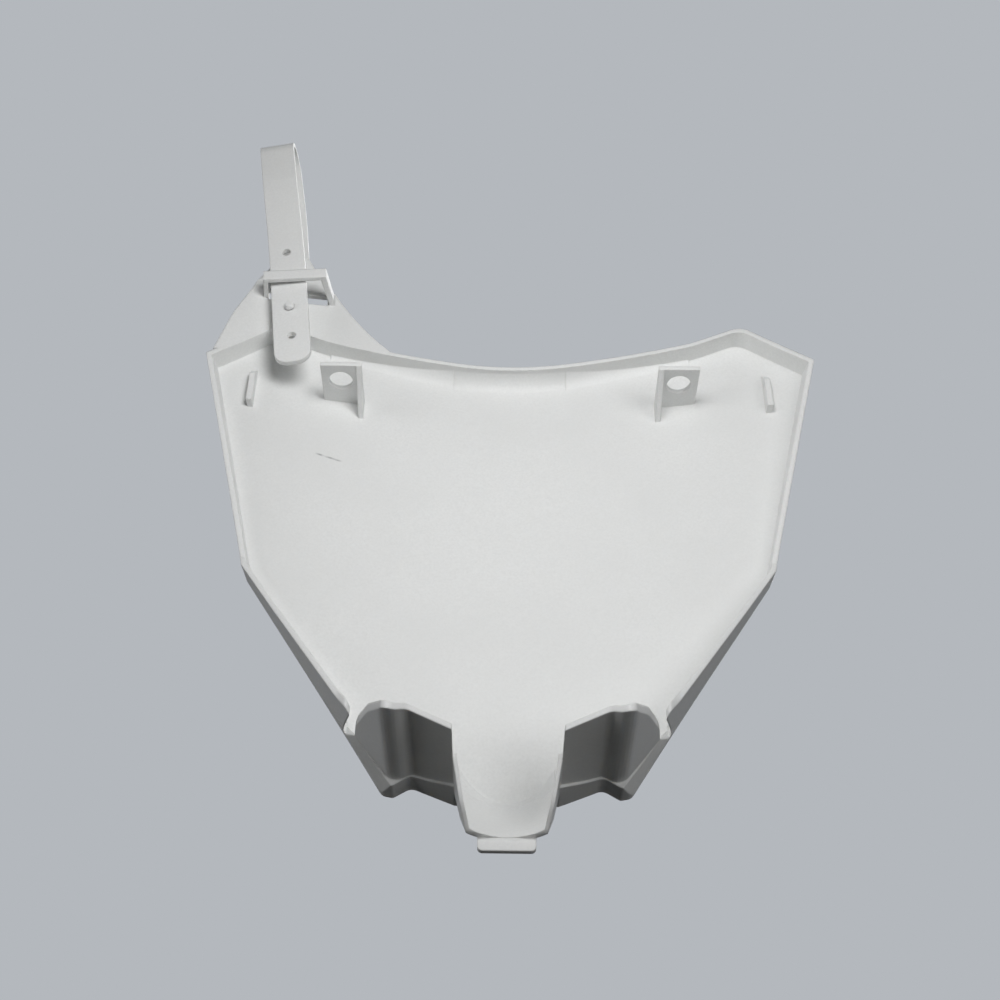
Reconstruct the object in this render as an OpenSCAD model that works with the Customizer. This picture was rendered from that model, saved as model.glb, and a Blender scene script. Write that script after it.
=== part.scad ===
// Front number board of an off-road motorcycle: one moulded sheet with a turned
// edge, two bracket shelves, a scoop at the foot and a strap that loops back on itself.
// X runs across the board, Z up its face and Y from the rider's side to the printed side.
// The origin lies midway between the two bracket holes, at the middle of the shelves.

/* [Sheet] */
// Thickness of the sheet and of its turned edge
wall = 1.9; // [1.6:0.1:2.6]
// Radius of the sideways bow of the board
bow_r = 430; // [350:10:800]
// Width over the top corners
top_w = 245.6; // [230:0.2:260]
// Depth of the turned edge along the top
edge_depth = 8; // [6:0.5:10]
// Depth of the turned edge at the knee of each side
knee_depth = 4; // [3:0.5:6]
// Reach of the turned edge behind the board at the lower end of each diagonal
low_reach = 23; // [19:1:24]
// Outward lean of the side edges, in degrees
edge_draft = 8; // [2:1:10]

/* [Foot] */
// Width of the scoop where it leaves the board
scoop_w = 34.6; // [30:0.2:40]
// Reach of the two foot walls behind the board, next to the scoop
foot_reach = 39.7; // [34:0.5:42]
// Step between the front band and the foot walls at the throat
ledge = 1; // [0.6:0.1:1.4]
// Width of the hooked tongue at the end of the scoop
tongue_w = 18.4; // [14:0.2:22]
// Height of the hooked tongue
tongue_h = 5; // [4:0.5:8]

/* [Brackets] */
// Distance between the two bracket holes
hole_spacing = 137; // [134:0.5:140]
// Diameter of the bracket holes
hole_d = 9.6; // [8:0.1:10.4]
// Width of each bracket shelf
shelf_w = 15.4; // [14:0.2:18]
// Thickness of the shelves and their gussets
shelf_t = 2; // [1.6:0.1:2.6]
// Distance from the hole centres to the rear face of the board at its middle
hole_back = 17.8; // [15:0.2:20]

/* [Strap] */
// Width of the strap
strap_w = 15; // [13:0.5:16]
// Thickness of the strap
strap_t = 2; // [1.6:0.1:2.4]
// Sideways lean of the strap, in degrees
strap_lean = 8; // [5:1:10]
// Diameter of the strap holes
strap_hole_d = 3.6; // [3.2:0.1:4]
// Distance between strap holes
hole_pitch = 16.5; // [15:0.5:18]
// Play between the strap and the stud or the keeper
play = 0.35; // [0.2:0.05:0.5]

/* [Hidden] */
$fn = 96;

far = 300;
chord_error = 0.04;

// Front outline, right half, clockwise from the top: x, z, corner radius
corner_x = top_w / 2;
dip = [0, 16.9, 180];
shoulder = [corner_x - 46.8, 27, 30];
peak = [corner_x - 25.8, 33, 7];
corner = [corner_x, 5.7, 1.5];
knee = [98.6, -91, 8];
toe_out = [41.3, -174.8, 3];
toe_in = [37.6, -175.3, 1.5];
heel = [31.8, -171.8, 4];
throat = [scoop_w / 2, -176.9, 0];
right_side = [shoulder, peak, corner, knee, toe_out, toe_in, heel, throat];

// Outside of the foot walls, right half, from above the slot to the throat
foot_line = [[56.5, -151.2, 0], [37.4, -174.7, 5], [31.4, -171.2, 3], [throat.x, throat.y + ledge, 0]];

// Forward swell of the sheet towards its foot
swell_top = -125;
swell_r = 250;
split_z = -158;

// Rear edge of the diagonals and of the front band, seen from above: x, reach
// behind the board, corner radius. The two meet in the slot beside each foot wall.
slot = [55.6, 0.6, 0.6];
band_rim = [
    [throat.x, 6, 0], [25, 4, 20], [37.5, 3, 20], [51.2, 4.9, 0.4], slot,
    [54.3, 7.9, 20], [51.3, low_reach - 1.8, 1]
];
edge_rim = [[52.4, low_reach + 0.4, 0.8], [56, low_reach - 2.4, 6], [84, 16.4, 60]];
slot_top = -151;

// Rear edge of the foot walls, seen from above
foot_rim = [
    [throat.x, 0, 0], [throat.x, foot_reach, 0], [31, foot_reach + 3.8, 5],
    [38, foot_reach + 8.6, 2.5],
    [44, foot_reach - 5.5, 30], [49.8, foot_reach - 25.5, 12], [51, 5, 0.4], [51, 0, 0]
];

// Scoop, seen from the side: y and z of its fold, its end and its side rims
fold = [5, -178];
lip_end = [-10, -196.5];
scoop_rim = [[-22.5, -175, 4], [-19, -189, 12], [-12.5, -196, 3]];
scoop_mid_w = 29.7;
scoop_end_w = 24.6;
scoop_wall = 1.3;
trough_r = 22;
channel_top = [10, -163];
channel_r = 24;
lip_angle = 141;
tongue_turn = 2.6;
tongue_start = 1;
tongue_corner = 1.6;

function unit(v) = v / norm(v);
function turned(a) = a > 180 ? a - 360 : a < -180 ? a + 360 : a;

// Points that replace corner b of the line a, b, c by an arc of radius r
function corner_arc(a, b, c, r) =
    let (u = unit(a - b), v = unit(c - b), half = acos(u * v) / 2,
         centre = b + unit(u + v) * r / sin(half),
         from = b + u * r / tan(half) - centre,
         to = b + v * r / tan(half) - centre,
         a0 = atan2(from.y, from.x),
         sweep = turned(atan2(to.y, to.x) - a0),
         steps = max(2, ceil(abs(sweep) / 2 / acos(1 - chord_error / r))))
    [for (i = [0:steps]) centre + r * [cos(a0 + sweep * i / steps), sin(a0 + sweep * i / steps)]];

// Closed outline with each corner rounded by the radius held in its third value
function rounded(p) =
    [for (i = [0:len(p) - 1])
        let (a = p[(i + len(p) - 1) % len(p)], b = p[i], c = p[(i + 1) % len(p)])
        each b[2] == 0 ? [[b.x, b.y]]
            : corner_arc([a.x, a.y], [b.x, b.y], [c.x, c.y], b[2])];

// Outline moved inwards by d; the points run clockwise
function inset(p, d) =
    [for (i = [0:len(p) - 1])
        let (a = p[(i + len(p) - 1) % len(p)], b = p[i], c = p[(i + 1) % len(p)],
             u = unit([b.x - a.x, b.y - a.y]), v = unit([c.x - b.x, c.y - b.y]),
             n = unit([u.y + v.y, -u.x - v.x]),
             shift = d / (n * [u.y, -u.x]))
        [b.x + n.x * shift, b.y + n.y * shift, b[2] == undef ? 0 : b[2]]];

function mirrored(p) = [for (i = [len(p) - 1:-1:0]) [-p[i].x, p[i].y, p[i][2]]];

board_outline = concat([dip], right_side, mirrored(right_side));
foot_outline = concat(foot_line, mirrored(foot_line));

// Prism along Y over an outline drawn in x and z
module prism(reach = far) {
    rotate([90, 0, 0])
        linear_extrude(2 * reach, center = true)
            children();
}

// Prism along X over an outline drawn in y and z
module side_prism(width) {
    rotate([90, 0, 90])
        linear_extrude(width, center = true)
            children();
}

// Front outline of the sheet, moved inwards by d
module outline(d = 0) {
    polygon(rounded(inset(board_outline, d)));
}

// Swell of the sheet at height z, as a fall of the swell circle
function swell(z) = z < swell_top ? swell_r - sqrt(pow(swell_r, 2) - pow(swell_top - z, 2)) : 0;
swell_steps = 12;
low_z = -215;
high_z = 60;

// Everything on the rider's side of a surface that runs parallel to the rear face
module behind(depth) {
    swell_points = [for (i = [0:swell_steps])
        let (z = swell_top + (low_z - swell_top) * i / swell_steps)
        [bow_r + depth + swell(z), z]];
    translate([0, -bow_r, 0])
        rotate_extrude($fn = 720)
            polygon(concat([[0, low_z], [0, high_z], [bow_r + depth, high_z]], swell_points));
}

// Place across the bow, at a depth behind the rear face
function bow_y(x, depth) = sqrt(pow(bow_r - depth, 2) - x * x) - bow_r;

// Space in front of an edge given as x and reach behind the board, between two heights
module plan_space(rim, low, high) {
    side = [for (q = rim) [q.x, -q.y, q[2]]];
    translate([0, 0, low])
        linear_extrude(high - low)
            polygon(rounded(concat(side, mirrored(side))));
}

// Space in front of the rear rim of the turned edge
module rim_space() {
    knee_reach = -bow_y(knee.x, knee_depth);
    rim = [[edge_depth, high_z], [edge_depth, corner.y], [knee_depth, knee.y]];
    rest = [[knee.x, knee_reach, 0], [corner_x, knee_reach, 0], [corner_x, -far, 0]];
    translate([0, -bow_r, 0])
        rotate_extrude($fn = 720)
            polygon(concat([for (p = rim) [bow_r - p.x, p.y]],
                           [[bow_r + far, knee.y], [bow_r + far, high_z]]));
    plan_space(concat([[edge_rim[0].x, low_reach, 0]], edge_rim, rest), slot_top, knee.y);
    plan_space(concat(band_rim, edge_rim, rest), low_z, slot_top);
}

// Space beyond a leaning edge that passes p and q at one level; it reaches back behind it
module beyond(p, q, lean, level, d = 0, back = far) {
    translate([p.x, level, p.y])
        rotate([0, -atan2(q.y - p.y, q.x - p.x), 0])
            rotate([-lean, 0, 0])
                translate([-far, -back, -d])
                    cube([3 * far, back + far, far]);
}

// Cuts that give the side edges their outward lean; they keep the outline at one level
lean_level = -26;
module side_lean(d = 0) {
    for (side = [0, 1])
        mirror([side, 0, 0])
            beyond(corner, knee, edge_draft, lean_level, d);
}

// Cuts that slope the front band in towards the foot walls, in degrees, from one level
band_lean = 21;
band_level = -5;
module band_slope() {
    for (side = [0, 1])
        mirror([side, 0, 0])
            beyond(foot_line[0], foot_line[1], -band_lean, band_level, 0, 0);
}

module tray_outside() {
    difference() {
        intersection() {
            prism() outline();
            behind(wall);
            rim_space();
        }
        band_slope();
    }
    intersection() {
        prism() polygon(rounded(foot_outline));
        behind(wall);
        plan_space(concat(foot_rim, [[foot_rim[len(foot_rim) - 1].x, -far, 0]]), low_z, knee.y);
    }
}

// Rounded inner corner along the dip of the top edge. Its middle is a ring about the
// centre of the dip; its arms run about the bow and die away towards the shoulders.
cove_r = 7.5;
cove_fade = 4;
cove_bite = 0.15;
dip_slope = atan2(shoulder.y - dip.y, shoulder.x);
dip_axis = dip.y + dip[2] / cos(dip_slope);
dip_half = dip[2] * sin(dip_slope);

module cove_corner() {
    difference() {
        translate([-cove_r, -cove_r])
            square(cove_r + 1);
        translate([-cove_r, -cove_r])
            circle(cove_r + cove_bite);
    }
}

module cove() {
    intersection() {
        translate([0, 0, dip_axis])
            rotate([-90, 0, 0])
                rotate_extrude($fn = 720)
                    translate([dip[2] + wall, 0])
                        mirror([1, 0, 0])
                            cove_corner();
        translate([-dip_half, -far, 0])
            cube([2 * dip_half, 2 * far, far]);
    }
    for (side = [0, 1])
        mirror([side, 0, 0])
            intersection() {
                translate([0, -bow_r, dip.y + dip_half * tan(dip_slope) - wall / cos(dip_slope)])
                    rotate([0, 0, -asin(dip_half / bow_r)])
                        rotate([0, -dip_slope - cove_fade, 0])
                            rotate_extrude($fn = 720)
                                translate([bow_r, 0])
                                    cove_corner();
                translate([dip_half, -far, 0])
                    cube([shoulder.x - dip_half, 2 * far, far]);
            }
}

// Hollow behind the sheet, inside the turned edge and inside the foot walls
module tray_inside() {
    intersection() {
        prism() foot_inside();
        behind(0);
    }
    intersection() {
        difference() {
            prism() outline(wall);
            side_lean(wall);
            cove();
        }
        behind(0);
        translate([-far, -far, split_z])
            cube([2 * far, 2 * far, far]);
    }
}

// Inside of the foot walls; the strip above the scoop is left to the scoop's own hollow
module foot_inside() {
    strip = scoop_w / 2 - scoop_wall;
    difference() {
        polygon(rounded(inset(foot_outline, wall)));
        translate([-strip, low_z])
            square([2 * strip, channel_top.y - low_z]);
    }
}

// Side view of the scoop: side rims, end of the lip and outside of the lip
lip_dir = unit(lip_end - fold);
lip_out = [-lip_dir.y, lip_dir.x];
scoop_top_z = -150;
module scoop_side() {
    below = 2 * wall * lip_out;
    polygon(rounded(concat(
        [[fold.x + 2 * wall, scoop_top_z, 0], [scoop_rim[0].x, scoop_top_z, 0]], scoop_rim,
        [[lip_end.x, lip_end.y, 0], [lip_end.x + below.x, lip_end.y + below.y, 0],
         [fold.x + below.x, fold.y + below.y, 0]])));
}

module scoop_front(d = 0) {
    side = [[scoop_w / 2 - d, scoop_top_z, 0], [scoop_w / 2 - d, throat.y + 1, 0],
            [scoop_mid_w / 2 - d, scoop_rim[1].y, 12], [scoop_end_w / 2 - d, lip_end.y - 1, 0],
            [scoop_end_w / 2 - d, lip_end.y - wall * 2, 0]];
    polygon(rounded(concat(side, mirrored(side))));
}

// Round trough through two points of its bottom line, given in y and z
module trough(low, high, r) {
    dir = unit(high - low);
    axis = low + [-dir.y, dir.x] * r;
    translate([0, axis.x, axis.y])
        rotate([atan2(dir.y, dir.x) - 90, 0, 0])
            translate([0, 0, -far])
                cylinder(r = r, h = 2 * far);
}

module scoop_outside() {
    intersection() {
        prism() scoop_front();
        side_prism(scoop_w) scoop_side();
        behind(wall);
        trough(lip_end + lip_out * wall, fold + lip_out * wall, trough_r + wall);
    }
}

// Hollow of the scoop: the rear face of the board deepens into a channel, then
// turns at a fold into the dished lip
module scoop_inside() {
    intersection() {
        prism() scoop_front(scoop_wall);
        behind(0);
        trough(lip_end, fold, trough_r);
        trough(fold, channel_top, channel_r);
    }
}

// Tongue that hooks downwards from the end of the lip
module tongue() {
    line = ribbon_line(lip_end + lip_out * wall / 2 - lip_dir * wall, lip_angle,
                       [[tongue_start, 0], [tongue_turn, 180 - lip_angle], [tongue_h - tongue_turn, 0]]);
    low = line[len(line) - 1].y;
    color("whitesmoke")
        intersection() {
            side_prism(tongue_w)
                polygon(ribbon(line, wall));
            prism()
                polygon(rounded([[-tongue_w / 2, low, tongue_corner], [-tongue_w / 2, low + far, 0],
                                 [tongue_w / 2, low + far, 0], [tongue_w / 2, low, tongue_corner]]));
        }
}

// Shelf with its hole and, on the inner side below it, a three-cornered gusset
shelf_x = hole_spacing / 2;
shelf_front = -26;
gusset_drop = 10.8;
module bracket() {
    inner = shelf_x - shelf_w / 2;
    color("whitesmoke")
        difference() {
            intersection() {
                union() {
                    translate([inner, shelf_front, -shelf_t / 2])
                        cube([shelf_w, -shelf_front, shelf_t]);
                    translate([inner, 0, 0])
                        side_prism(shelf_t)
                            polygon([[shelf_front, shelf_t / 2], [0, shelf_t / 2],
                                     [0, -gusset_drop], [shelf_front, -shelf_t / 2]]);
                }
                behind(wall / 2);
            }
            translate([shelf_x, -hole_back, -shelf_t])
                cylinder(d = hole_d, h = 2 * shelf_t);
        }
}

// Small upright rib near the side edge, cut back at its upper end
rib_x = corner_x - 17.9;
rib_t = 2.3;
rib_lean = 1.5;
rib_root = -13;
rib_depth = 4.4;
rib_side = [[0, 9.4], [rib_root, 9.4], [rib_root - rib_depth, 3.6],
            [rib_root - rib_depth, -11.6], [0, -11.6]];
module rib() {
    color("whitesmoke")
        intersection() {
            translate([rib_x, 0, 0])
                rotate([0, rib_lean, 0])
                    side_prism(rib_t)
                        polygon(rib_side);
            behind(wall / 2);
        }
}

// Sheet that stands up from the top edge on one side and carries the strap. Its
// places across the board are counted from the outer corner.
tab_top = 56;
flare_r = 131;
flare_centre = [-corner_x + 160.5, 120.6];
tab_edge = [
    [2.2, 9, 0], [6.8, 33, 60], [12, 49.6, 6], [16.8, 68, 0], [16.8, 90, 0], [62.8, 90, 0],
    [49.4, 51.5, 0], [62.3, 38.4, 40], [70.8, 27, 8], [82.8, 20.6, 0], [46.8, 22, 0], [26.8, 24, 0]
];
module tab_outline() {
    difference() {
        polygon(rounded([for (q = tab_edge) [q.x - corner_x, q.y, q[2]]]));
        translate(flare_centre)
            circle(flare_r, $fn = 360);
    }
}

window_x = [19.2 - corner_x, 43.8 - corner_x];
window_z = [46.6, 52.4];
keeper_x = 31.3 - corner_x;
keeper_z = 49.8;
keeper_tilt = 5;
module tab() {
    color("whitesmoke")
        difference() {
            intersection() {
                prism() tab_outline();
                behind(wall - edge_depth);
                translate([-far, -far, 0])
                    cube([far, 2 * far, tab_top]);
            }
            behind(-edge_depth);
            prism() outline(wall);
            translate([keeper_x, 0, keeper_z])
                rotate([0, -keeper_tilt, 0])
                    translate([window_x[0] - keeper_x, -far, window_z[0] - keeper_z])
                        cube([window_x[1] - window_x[0], 2 * far, window_z[1] - window_z[0]]);
        }
}

// Loop that holds the strap down: a bridge on two legs
keeper_h = 5.6;
bridge_y = -31;
bridge_t = 1.8;
bridge_w = 26.3;
left_foot = [17.2 - corner_x, -19];
right_foot = [47.2 - corner_x, -13];
module keeper() {
    left = keeper_x - bridge_w / 2;
    right = keeper_x + bridge_w / 2;
    taper = 3.2;
    color("whitesmoke")
        intersection() {
            translate([keeper_x, 0, keeper_z])
                rotate([0, -keeper_tilt, 0])
                    translate([-keeper_x, 0, -keeper_h / 2])
                        intersection() {
                            linear_extrude(keeper_h)
                                polygon([[left, bridge_y], [left_foot.x, left_foot.y],
                                         [left_foot.x + bridge_t, left_foot.y],
                                         [left + bridge_t, bridge_y + bridge_t],
                                         [right - bridge_t - 0.4, bridge_y + bridge_t],
                                         [right_foot.x - bridge_t - 0.4, right_foot.y],
                                         [right_foot.x, right_foot.y], [right, bridge_y]]);
                            prism()
                                polygon([[left - 9, 0], [right + 9, 0],
                                         [right + 9 - taper, keeper_h], [right - taper, keeper_h],
                                         [left + taper, keeper_h], [left - 9 + taper, keeper_h]]);
                        }
            behind(wall / 2 - edge_depth);
        }
}

// Strap, in its own leaning frame: y and z of its start and its heading, measured
// from upright towards the rider, then the length and the turn of each stretch
strap_x = 27.8 - corner_x;
strap_z = 50;
strap_start = [-17.5, 0];
strap_heading = -2;
strap_turn = 6;
root_z = 25;
strap_stretches = [[38, 0], [35, 24], [6, 0], [26, 166], [35, 10], [36, -14], [51.5, 0]];
turn_step = 5;
tail_r = 6;
drill = 16;
root_lap = 2;

function along(h) = [-sin(h), cos(h)];
function across(h) = [-cos(h), -sin(h)];
function stretch_end(p, h, s) =
    s[1] == 0 ? p + s[0] * along(h)
    : let (r = s[0] * 180 / PI / s[1])
      p + r * (across(h) - across(h + s[1]));

// Points and headings along a bent band, from its start, its heading and its stretches
function ribbon_line(p, h, stretches, i = 0) =
    i == len(stretches) ? [[p.x, p.y, h]]
    : let (s = stretches[i], n = max(1, ceil(abs(s[1]) / turn_step)))
      concat([for (k = [0:n - 1])
                let (q = stretch_end(p, h, s * k / n))
                [q.x, q.y, h + s[1] * k / n]],
             ribbon_line(stretch_end(p, h, s), h + s[1], stretches, i + 1));
function ribbon_side(line, d) = [for (q = line) [q.x, q.y] + d * across(q[2])];

// Closed side view of a bent band of thickness t
function ribbon(line, t) =
    let (back = ribbon_side(line, -t / 2))
    concat(ribbon_side(line, t / 2), [for (i = [len(back) - 1:-1:0]) back[i]]);

strap_line = ribbon_line(strap_start, strap_heading, strap_stretches);
tail_end = strap_line[len(strap_line) - 1];
tail_top = strap_line[len(strap_line) - 2];

// Level of the middle of the tail at the local height z
function tail_y(z) = tail_top.x + (tail_end.x - tail_top.x) * (z - tail_top.y) / (tail_end.y - tail_top.y);

module in_strap_frame() {
    translate([strap_x, bridge_y, strap_z])
        rotate([0, -strap_lean, 0])
            rotate([0, 0, -strap_turn])
                translate([0, -bridge_y, 0])
                    children();
}

module strap() {
    color("whitesmoke")
        in_strap_frame()
            difference() {
                intersection() {
                    side_prism(strap_w)
                        polygon(ribbon(strap_line, strap_t));
                    prism()
                        polygon(rounded([[-strap_w / 2, tail_end.y, tail_r], [-strap_w / 2, far, 0],
                                         [strap_w / 2, far, 0], [strap_w / 2, tail_end.y, tail_r]]));
                }
                for (i = [-2:1])
                    translate([0, tail_y(0) + drill / 4, i * hole_pitch])
                        rotate([90, 0, 0])
                            cylinder(d = strap_hole_d, h = drill);
                translate([-far, strap_start.x - strap_t, -far])
                    cube([2 * far, 4 * strap_t, far + root_z - root_lap]);
            }
}

// Root of the strap: the top of the tab narrows and flattens into the band
root_x = [13.8 - corner_x, 43.8 - corner_x];
module strap_root() {
    slice = 0.5;
    color("whitesmoke")
        intersection() {
            hull() {
                for (x = root_x)
                    translate([x, bow_y(x, edge_depth - wall / 2), tab_top - slice])
                        cube([slice, wall, 2 * slice], center = true);
                in_strap_frame()
                    translate([0, strap_start.x + root_z * sin(-strap_heading), root_z])
                        cube([strap_w, strap_t, 2 * slice], center = true);
            }
            prism() tab_outline();
        }
}

// Stud on the tab that the strap is buttoned over: a wide seat, a neck and a head
stud_base = 17;
seat_d = 6.4;
head_d = strap_hole_d + 1;
head_h = 1.6;
module stud() {
    z = -hole_pitch;
    rear = tail_y(z) - strap_t / 2;
    front = tail_y(z) + strap_t / 2;
    color("whitesmoke")
        in_strap_frame()
            translate([0, 0, z])
                rotate([90, 0, 0]) {
                    translate([0, 0, stud_base])
                        cylinder(d = seat_d, h = -front - play - stud_base);
                    translate([0, 0, stud_base])
                        cylinder(d = strap_hole_d - 2 * play, h = -rear + 2 * play - stud_base);
                    translate([0, 0, -rear + play])
                        cylinder(d1 = head_d, d2 = head_d - head_h, h = head_h);
                }
}

// The sheet with its turned edge, its foot and its scoop
module board() {
    color("whitesmoke")
        difference() {
            union() {
                tray_outside();
                scoop_outside();
            }
            tray_inside();
            scoop_inside();
            side_lean();
        }
}

// The whole moulding, moved from the middle of the rear face to the bracket holes
module number_board() {
    translate([0, hole_back, 0]) {
        board();
        tongue();
        for (side = [0, 1])
            mirror([side, 0, 0]) {
                bracket();
                rib();
            }
        tab();
        keeper();
        stud();
        strap_root();
        strap();
    }
}

number_board();
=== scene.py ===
import math
import bpy
from mathutils import Matrix, Vector

# Front number board of an off-road motorcycle: one white moulding, seen from the rider's side.
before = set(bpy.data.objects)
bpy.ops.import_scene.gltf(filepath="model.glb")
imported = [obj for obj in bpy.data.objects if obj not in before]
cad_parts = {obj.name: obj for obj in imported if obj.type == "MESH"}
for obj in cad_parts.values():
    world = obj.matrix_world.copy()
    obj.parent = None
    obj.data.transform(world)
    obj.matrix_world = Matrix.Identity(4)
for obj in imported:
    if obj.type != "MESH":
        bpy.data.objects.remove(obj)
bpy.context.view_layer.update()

# Camera: fitted to the two shelves, their holes and the mirrored outline
CAMERA_PLACE = (-0.0034, -0.36652, -0.38272)
CAMERA_PITCH = 41.0
CAMERA_ROLL = 0.7
CAMERA_LENS = 46.8
SENSOR = 36.0

# Floor below the camera, which looks up at the board
FLOOR_Z = -0.8
FLOOR_SIDE = 8.0

# Softboxes aimed at the middle of the board: turn counted from the rider's side towards +X
# and rise from level, in degrees, then distance and side in metres, and power in watts
BOARD_MIDDLE = Vector((0.0, 0.0, -0.06))
LAMPS = {
    "near_box": (2, 9, 0.25, 0.12, 0.385),
    "left_box": (-60, -3, 1.2, 0.6, 2.75),
    "right_box": (30, -14, 1.2, 0.6, 3.8),
    # High over the printed side, which the camera does not see
    "front_box": (172, 48, 1.3, 1.0, 13.0),
}

# Scuff on the rear face, below the left bracket
SCUFF_CENTRE = (-0.0714, 0.0118, -0.0326)
SCUFF_TURN = 14.4
SCUFF_HALF_LENGTH = 0.0058
SCUFF_HALF_WIDTH = 0.0006

# Radius to which the shading rounds the moulding's corners
CORNER_R = 0.0008

ROOM = "#b4b8bd"
WHITE = "#ffffff"


def srgb(code):
    """A #rrggbb value as linear red, green, blue and full alpha."""
    parts = [int(code[i:i + 2], 16) / 255 for i in (1, 3, 5)]
    return tuple(p / 12.92 if p <= 0.04045 else ((p + 0.055) / 1.055) ** 2.4 for p in parts) + (1.0,)


def node(tree, kind, links=None, **settings):
    """Adds a node with its settings; links gives each input a value or another node's output.

    Inputs 0, 6 and 7 of a colour mix are its factor and its two colours."""
    made = tree.nodes.new(kind)
    for name, value in settings.items():
        setattr(made, name, value)
    for socket, value in (links or {}).items():
        if isinstance(value, bpy.types.NodeSocket):
            tree.links.new(value, made.inputs[socket])
        else:
            made.inputs[socket].default_value = value
    return made


def new_material(name):
    material = bpy.data.materials.new(name)
    material.use_nodes = True
    material.node_tree.nodes.clear()
    return material, material.node_tree


def pigment_colour(tree, place):
    """White pigment, clouded by the packing of the melt and finely mottled."""
    # 25 clouds to the metre: 40 mm across
    cloud = node(tree, "ShaderNodeTexNoise", {
        "Vector": place, "Scale": 25.0, "Detail": 3.0, "Roughness": 0.55})
    tint = node(tree, "ShaderNodeValToRGB", {"Fac": cloud.outputs["Fac"]})
    tint.color_ramp.elements[0].position = 0.35
    tint.color_ramp.elements[0].color = srgb("#eaebea")
    tint.color_ramp.elements[1].position = 0.68
    tint.color_ramp.elements[1].color = srgb("#eff0ef")
    # Mottle drawn at 1 mm, because the real 0.2 mm would not show
    mottle = node(tree, "ShaderNodeTexNoise", {
        "Vector": place, "Scale": 1000.0, "Detail": 2.0, "Roughness": 0.6})
    mottled = node(tree, "ShaderNodeMapRange", {
        "Value": mottle.outputs["Fac"], "From Min": 0.2, "From Max": 0.7})
    return node(tree, "ShaderNodeMix", {
        0: mottled.outputs["Result"], 6: srgb("#e6e7e6"), 7: tint.outputs["Color"]},
        data_type="RGBA").outputs[2]


def painted_edge_highlight_mask(tree, place, rounded_normal):
    """1 on sharp edges and creases, where a paler colour paints a highlight: there the face and its rounded
    normal differ.
    """
    face = node(tree, "ShaderNodeNewGeometry")
    turn = node(tree, "ShaderNodeVectorMath", {0: rounded_normal, 1: face.outputs["True Normal"]},
                operation="DOT_PRODUCT")
    edge = node(tree, "ShaderNodeMapRange", {
        "Value": turn.outputs["Value"], "From Min": 0.97, "From Max": 0.85})
    # The painted highlight breaks off every 2 to 3 mm
    highlight_gaps = node(tree, "ShaderNodeTexNoise", {"Vector": place, "Scale": 420.0, "Detail": 2.0})
    highlight_breaks = node(tree, "ShaderNodeMapRange", {
        "Value": highlight_gaps.outputs["Fac"], "From Min": 0.30, "From Max": 0.62})
    return node(tree, "ShaderNodeMath", {0: edge.outputs["Result"], 1: highlight_breaks.outputs["Result"]},
                operation="MULTIPLY").outputs[0]


def scuff_mask(tree, place):
    """1 along a thin straight scratch on the rear face, 0 elsewhere, frayed every 3 mm or so."""
    turned = node(tree, "ShaderNodeMapping", {
        "Vector": place, "Location": SCUFF_CENTRE, "Rotation": (0, math.radians(SCUFF_TURN), 0)},
        vector_type="TEXTURE")
    parts = node(tree, "ShaderNodeSeparateXYZ", {"Vector": turned.outputs["Vector"]})
    along = node(tree, "ShaderNodeMath", {0: parts.outputs["X"]}, operation="ABSOLUTE")
    across = node(tree, "ShaderNodeMath", {0: parts.outputs["Z"]}, operation="ABSOLUTE")
    ends = node(tree, "ShaderNodeMapRange", {
        "Value": along.outputs[0], "From Min": SCUFF_HALF_LENGTH, "From Max": SCUFF_HALF_LENGTH * 0.6})
    sides = node(tree, "ShaderNodeMapRange", {
        "Value": across.outputs[0], "From Min": SCUFF_HALF_WIDTH, "From Max": SCUFF_HALF_WIDTH * 0.2})
    line = node(tree, "ShaderNodeMath", {0: ends.outputs["Result"], 1: sides.outputs["Result"]},
                operation="MULTIPLY")
    face = node(tree, "ShaderNodeNewGeometry")
    normal = node(tree, "ShaderNodeSeparateXYZ", {"Vector": face.outputs["True Normal"]})
    rear = node(tree, "ShaderNodeMath", {0: normal.outputs["Y"], 1: 0.0}, operation="LESS_THAN")
    behind = node(tree, "ShaderNodeMath", {0: line.outputs[0], 1: rear.outputs[0]}, operation="MULTIPLY")
    fray = node(tree, "ShaderNodeTexNoise", {"Vector": place, "Scale": 350.0, "Detail": 2.0})
    broken = node(tree, "ShaderNodeMapRange", {
        "Value": fray.outputs["Fac"], "From Min": 0.22, "From Max": 0.62})
    return node(tree, "ShaderNodeMath", {0: behind.outputs[0], 1: broken.outputs["Result"]},
                operation="MULTIPLY").outputs[0]


def speck_mask(tree, place):
    """1 on a few specks of burnt pigment: half a millimetre across, in one 18 mm cell of ten."""
    cells = node(tree, "ShaderNodeTexVoronoi", {"Vector": place, "Scale": 55.0})
    speck = node(tree, "ShaderNodeMapRange", {
        "Value": cells.outputs["Distance"], "From Min": 0.022, "From Max": 0.012})
    pick = node(tree, "ShaderNodeSeparateColor", {"Color": cells.outputs["Color"]})
    few = node(tree, "ShaderNodeMath", {0: pick.outputs["Red"], 1: 0.9}, operation="GREATER_THAN")
    return node(tree, "ShaderNodeMath", {0: speck.outputs["Result"], 1: few.outputs[0]},
                operation="MULTIPLY").outputs[0]


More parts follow.
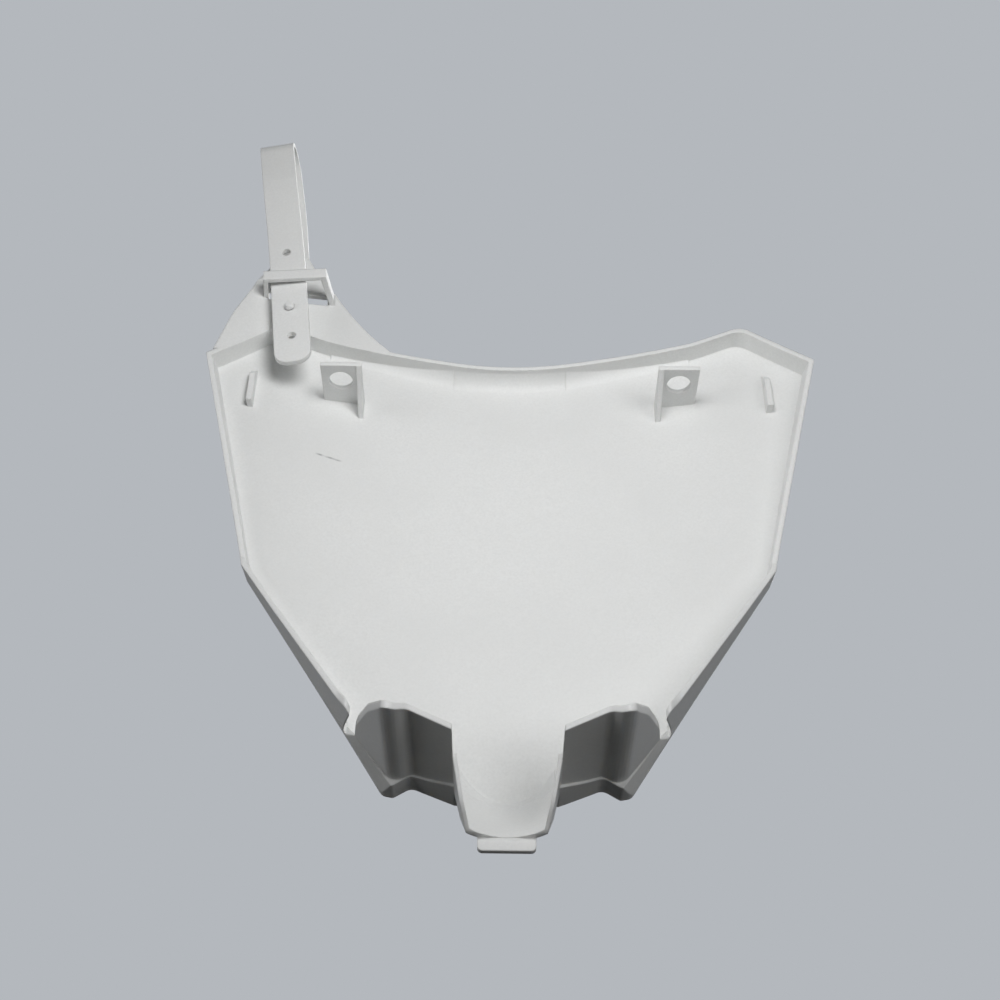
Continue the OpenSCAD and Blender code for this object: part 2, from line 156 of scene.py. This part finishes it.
def moulded_polypropylene():
    """White polypropylene, injection moulded in a fine-sparked tool: a soft sheen over a faint
    orange-peel, a little light let through the thin walls, and a paler colour painted on the edges as a
    highlight."""
    material, tree = new_material("moulded_polypropylene")
    place = node(tree, "ShaderNodeTexCoord").outputs["Object"]
    rounded = node(tree, "ShaderNodeBevel", {"Radius": CORNER_R}, samples=6).outputs["Normal"]
    colour = pigment_colour(tree, place)
    # Sharp edges and creases get a paler colour, a painted highlight broken every few millimetres
    for mask, mark in ((painted_edge_highlight_mask(tree, place, rounded), "#f8f8f6"),
                       (scuff_mask(tree, place), "#97989a"),
                       (speck_mask(tree, place), "#8a8a8b")):
        colour = node(tree, "ShaderNodeMix", {0: mask, 6: colour, 7: srgb(mark)}, data_type="RGBA").outputs[2]
    # Spark grain of 0.1 mm would not show, so it is drawn at 0.7 mm
    grain = node(tree, "ShaderNodeTexNoise", {"Vector": place, "Scale": 1400.0, "Detail": 2.0})
    sheen = node(tree, "ShaderNodeMapRange", {"Value": grain.outputs["Fac"], "To Min": 0.42, "To Max": 0.58})
    # Orange-peel of the cooled skin, 6 mm from crest to crest
    peel = node(tree, "ShaderNodeTexNoise", {"Vector": place, "Scale": 170.0, "Detail": 1.0})
    low = node(tree, "ShaderNodeBump", {
        "Height": peel.outputs["Fac"], "Strength": 0.1, "Distance": 0.0004, "Normal": rounded})
    fine = node(tree, "ShaderNodeBump", {
        "Height": grain.outputs["Fac"], "Strength": 0.1, "Distance": 0.0001, "Normal": low.outputs["Normal"]})
    # Light wanders about 2 mm through the plastic, a wall's thickness
    shader = node(tree, "ShaderNodeBsdfPrincipled", {
        "Base Color": colour, "Roughness": sheen.outputs["Result"], "Normal": fine.outputs["Normal"],
        "IOR": 1.49, "Subsurface Weight": 0.2, "Subsurface Radius": (1.0, 0.96, 0.9),
        "Subsurface Scale": 0.002})
    node(tree, "ShaderNodeOutputMaterial", {"Surface": shader.outputs["BSDF"]})
    return material


def floor_finish():
    """Pale paper where the camera sees it, with the shadows on it, and little light thrown back up."""
    material, tree = new_material("floor_paper")
    seen = node(tree, "ShaderNodeLightPath").outputs["Is Camera Ray"]
    dim = node(tree, "ShaderNodeBsdfDiffuse", {"Color": srgb("#343536")})
    matt = node(tree, "ShaderNodeBsdfDiffuse", {"Color": srgb("#8c8f92")})
    glow = node(tree, "ShaderNodeEmission", {"Color": srgb(ROOM), "Strength": 0.85})
    pale = node(tree, "ShaderNodeAddShader", {0: matt.outputs["BSDF"], 1: glow.outputs["Emission"]})
    both = node(tree, "ShaderNodeMixShader", {0: seen, 1: dim.outputs["BSDF"], 2: pale.outputs["Shader"]})
    node(tree, "ShaderNodeOutputMaterial", {"Surface": both.outputs["Shader"]})
    return material


def add_floor():
    mesh = bpy.data.meshes.new("floor")
    half = FLOOR_SIDE / 2
    corners = [(x * half, y * half, FLOOR_Z) for x, y in ((-1, -1), (1, -1), (1, 1), (-1, 1))]
    mesh.from_pydata(corners, [], [(0, 1, 2, 3)])
    floor = bpy.data.objects.new("floor", mesh)
    bpy.context.scene.collection.objects.link(floor)
    mesh.materials.append(floor_finish())


def add_world():
    """Even grey room: almost dark on the object, pale where the camera or a reflection sees it."""
    world = bpy.data.worlds.new("room")
    world.use_nodes = True
    bpy.context.scene.world = world
    tree = world.node_tree
    tree.nodes.clear()
    path = node(tree, "ShaderNodeLightPath")
    direct = node(tree, "ShaderNodeMath", {
        0: path.outputs["Is Camera Ray"], 1: path.outputs["Is Transmission Ray"]}, operation="MAXIMUM")
    seen = node(tree, "ShaderNodeMath", {0: direct.outputs[0], 1: path.outputs["Is Glossy Ray"]},
                operation="MAXIMUM")
    dim = node(tree, "ShaderNodeBackground", {"Color": srgb(WHITE), "Strength": 0.01})
    pale = node(tree, "ShaderNodeBackground", {"Color": srgb(ROOM), "Strength": 1.0})
    both = node(tree, "ShaderNodeMixShader", {0: seen.outputs[0], 1: dim.outputs[0], 2: pale.outputs[0]})
    node(tree, "ShaderNodeOutputWorld", {"Surface": both.outputs["Shader"]})


def add_lamp(name, turn, rise, distance, side, power):
    """Square softbox aimed at the middle of the board."""
    turn, rise = math.radians(turn), math.radians(rise)
    away = Vector((math.sin(turn) * math.cos(rise), -math.cos(turn) * math.cos(rise), math.sin(rise)))
    lamp = bpy.data.lights.new(name, "AREA")
    lamp.shape = "SQUARE"
    lamp.size = side
    lamp.energy = power
    holder = bpy.data.objects.new(name, lamp)
    bpy.context.scene.collection.objects.link(holder)
    place = Matrix.Translation(BOARD_MIDDLE + away * distance)
    holder.matrix_world = place @ away.to_track_quat("Z", "Y").to_matrix().to_4x4()


def add_camera():
    camera = bpy.data.cameras.new("camera")
    camera.lens = CAMERA_LENS
    camera.sensor_width = SENSOR
    holder = bpy.data.objects.new("camera", camera)
    bpy.context.scene.collection.objects.link(holder)
    pitch, roll = math.radians(CAMERA_PITCH), math.radians(CAMERA_ROLL)
    ahead = Vector((0, math.cos(pitch), math.sin(pitch)))
    level = Vector((1, 0, 0))
    up = Vector((0, -math.sin(pitch), math.cos(pitch)))
    right = level * math.cos(roll) + up * math.sin(roll)
    top = up * math.cos(roll) - level * math.sin(roll)
    turn = Matrix((right, top, -ahead)).transposed().to_4x4()
    holder.matrix_world = Matrix.Translation(CAMERA_PLACE) @ turn
    bpy.context.scene.camera = holder


moulding = moulded_polypropylene()
board = bpy.data.objects["number_board"]
for slot in board.material_slots:
    slot.material = moulding

add_floor()
add_world()
add_camera()
for name, settings in LAMPS.items():
    add_lamp(name, *settings)

bpy.context.scene.view_settings.view_transform = "Standard"
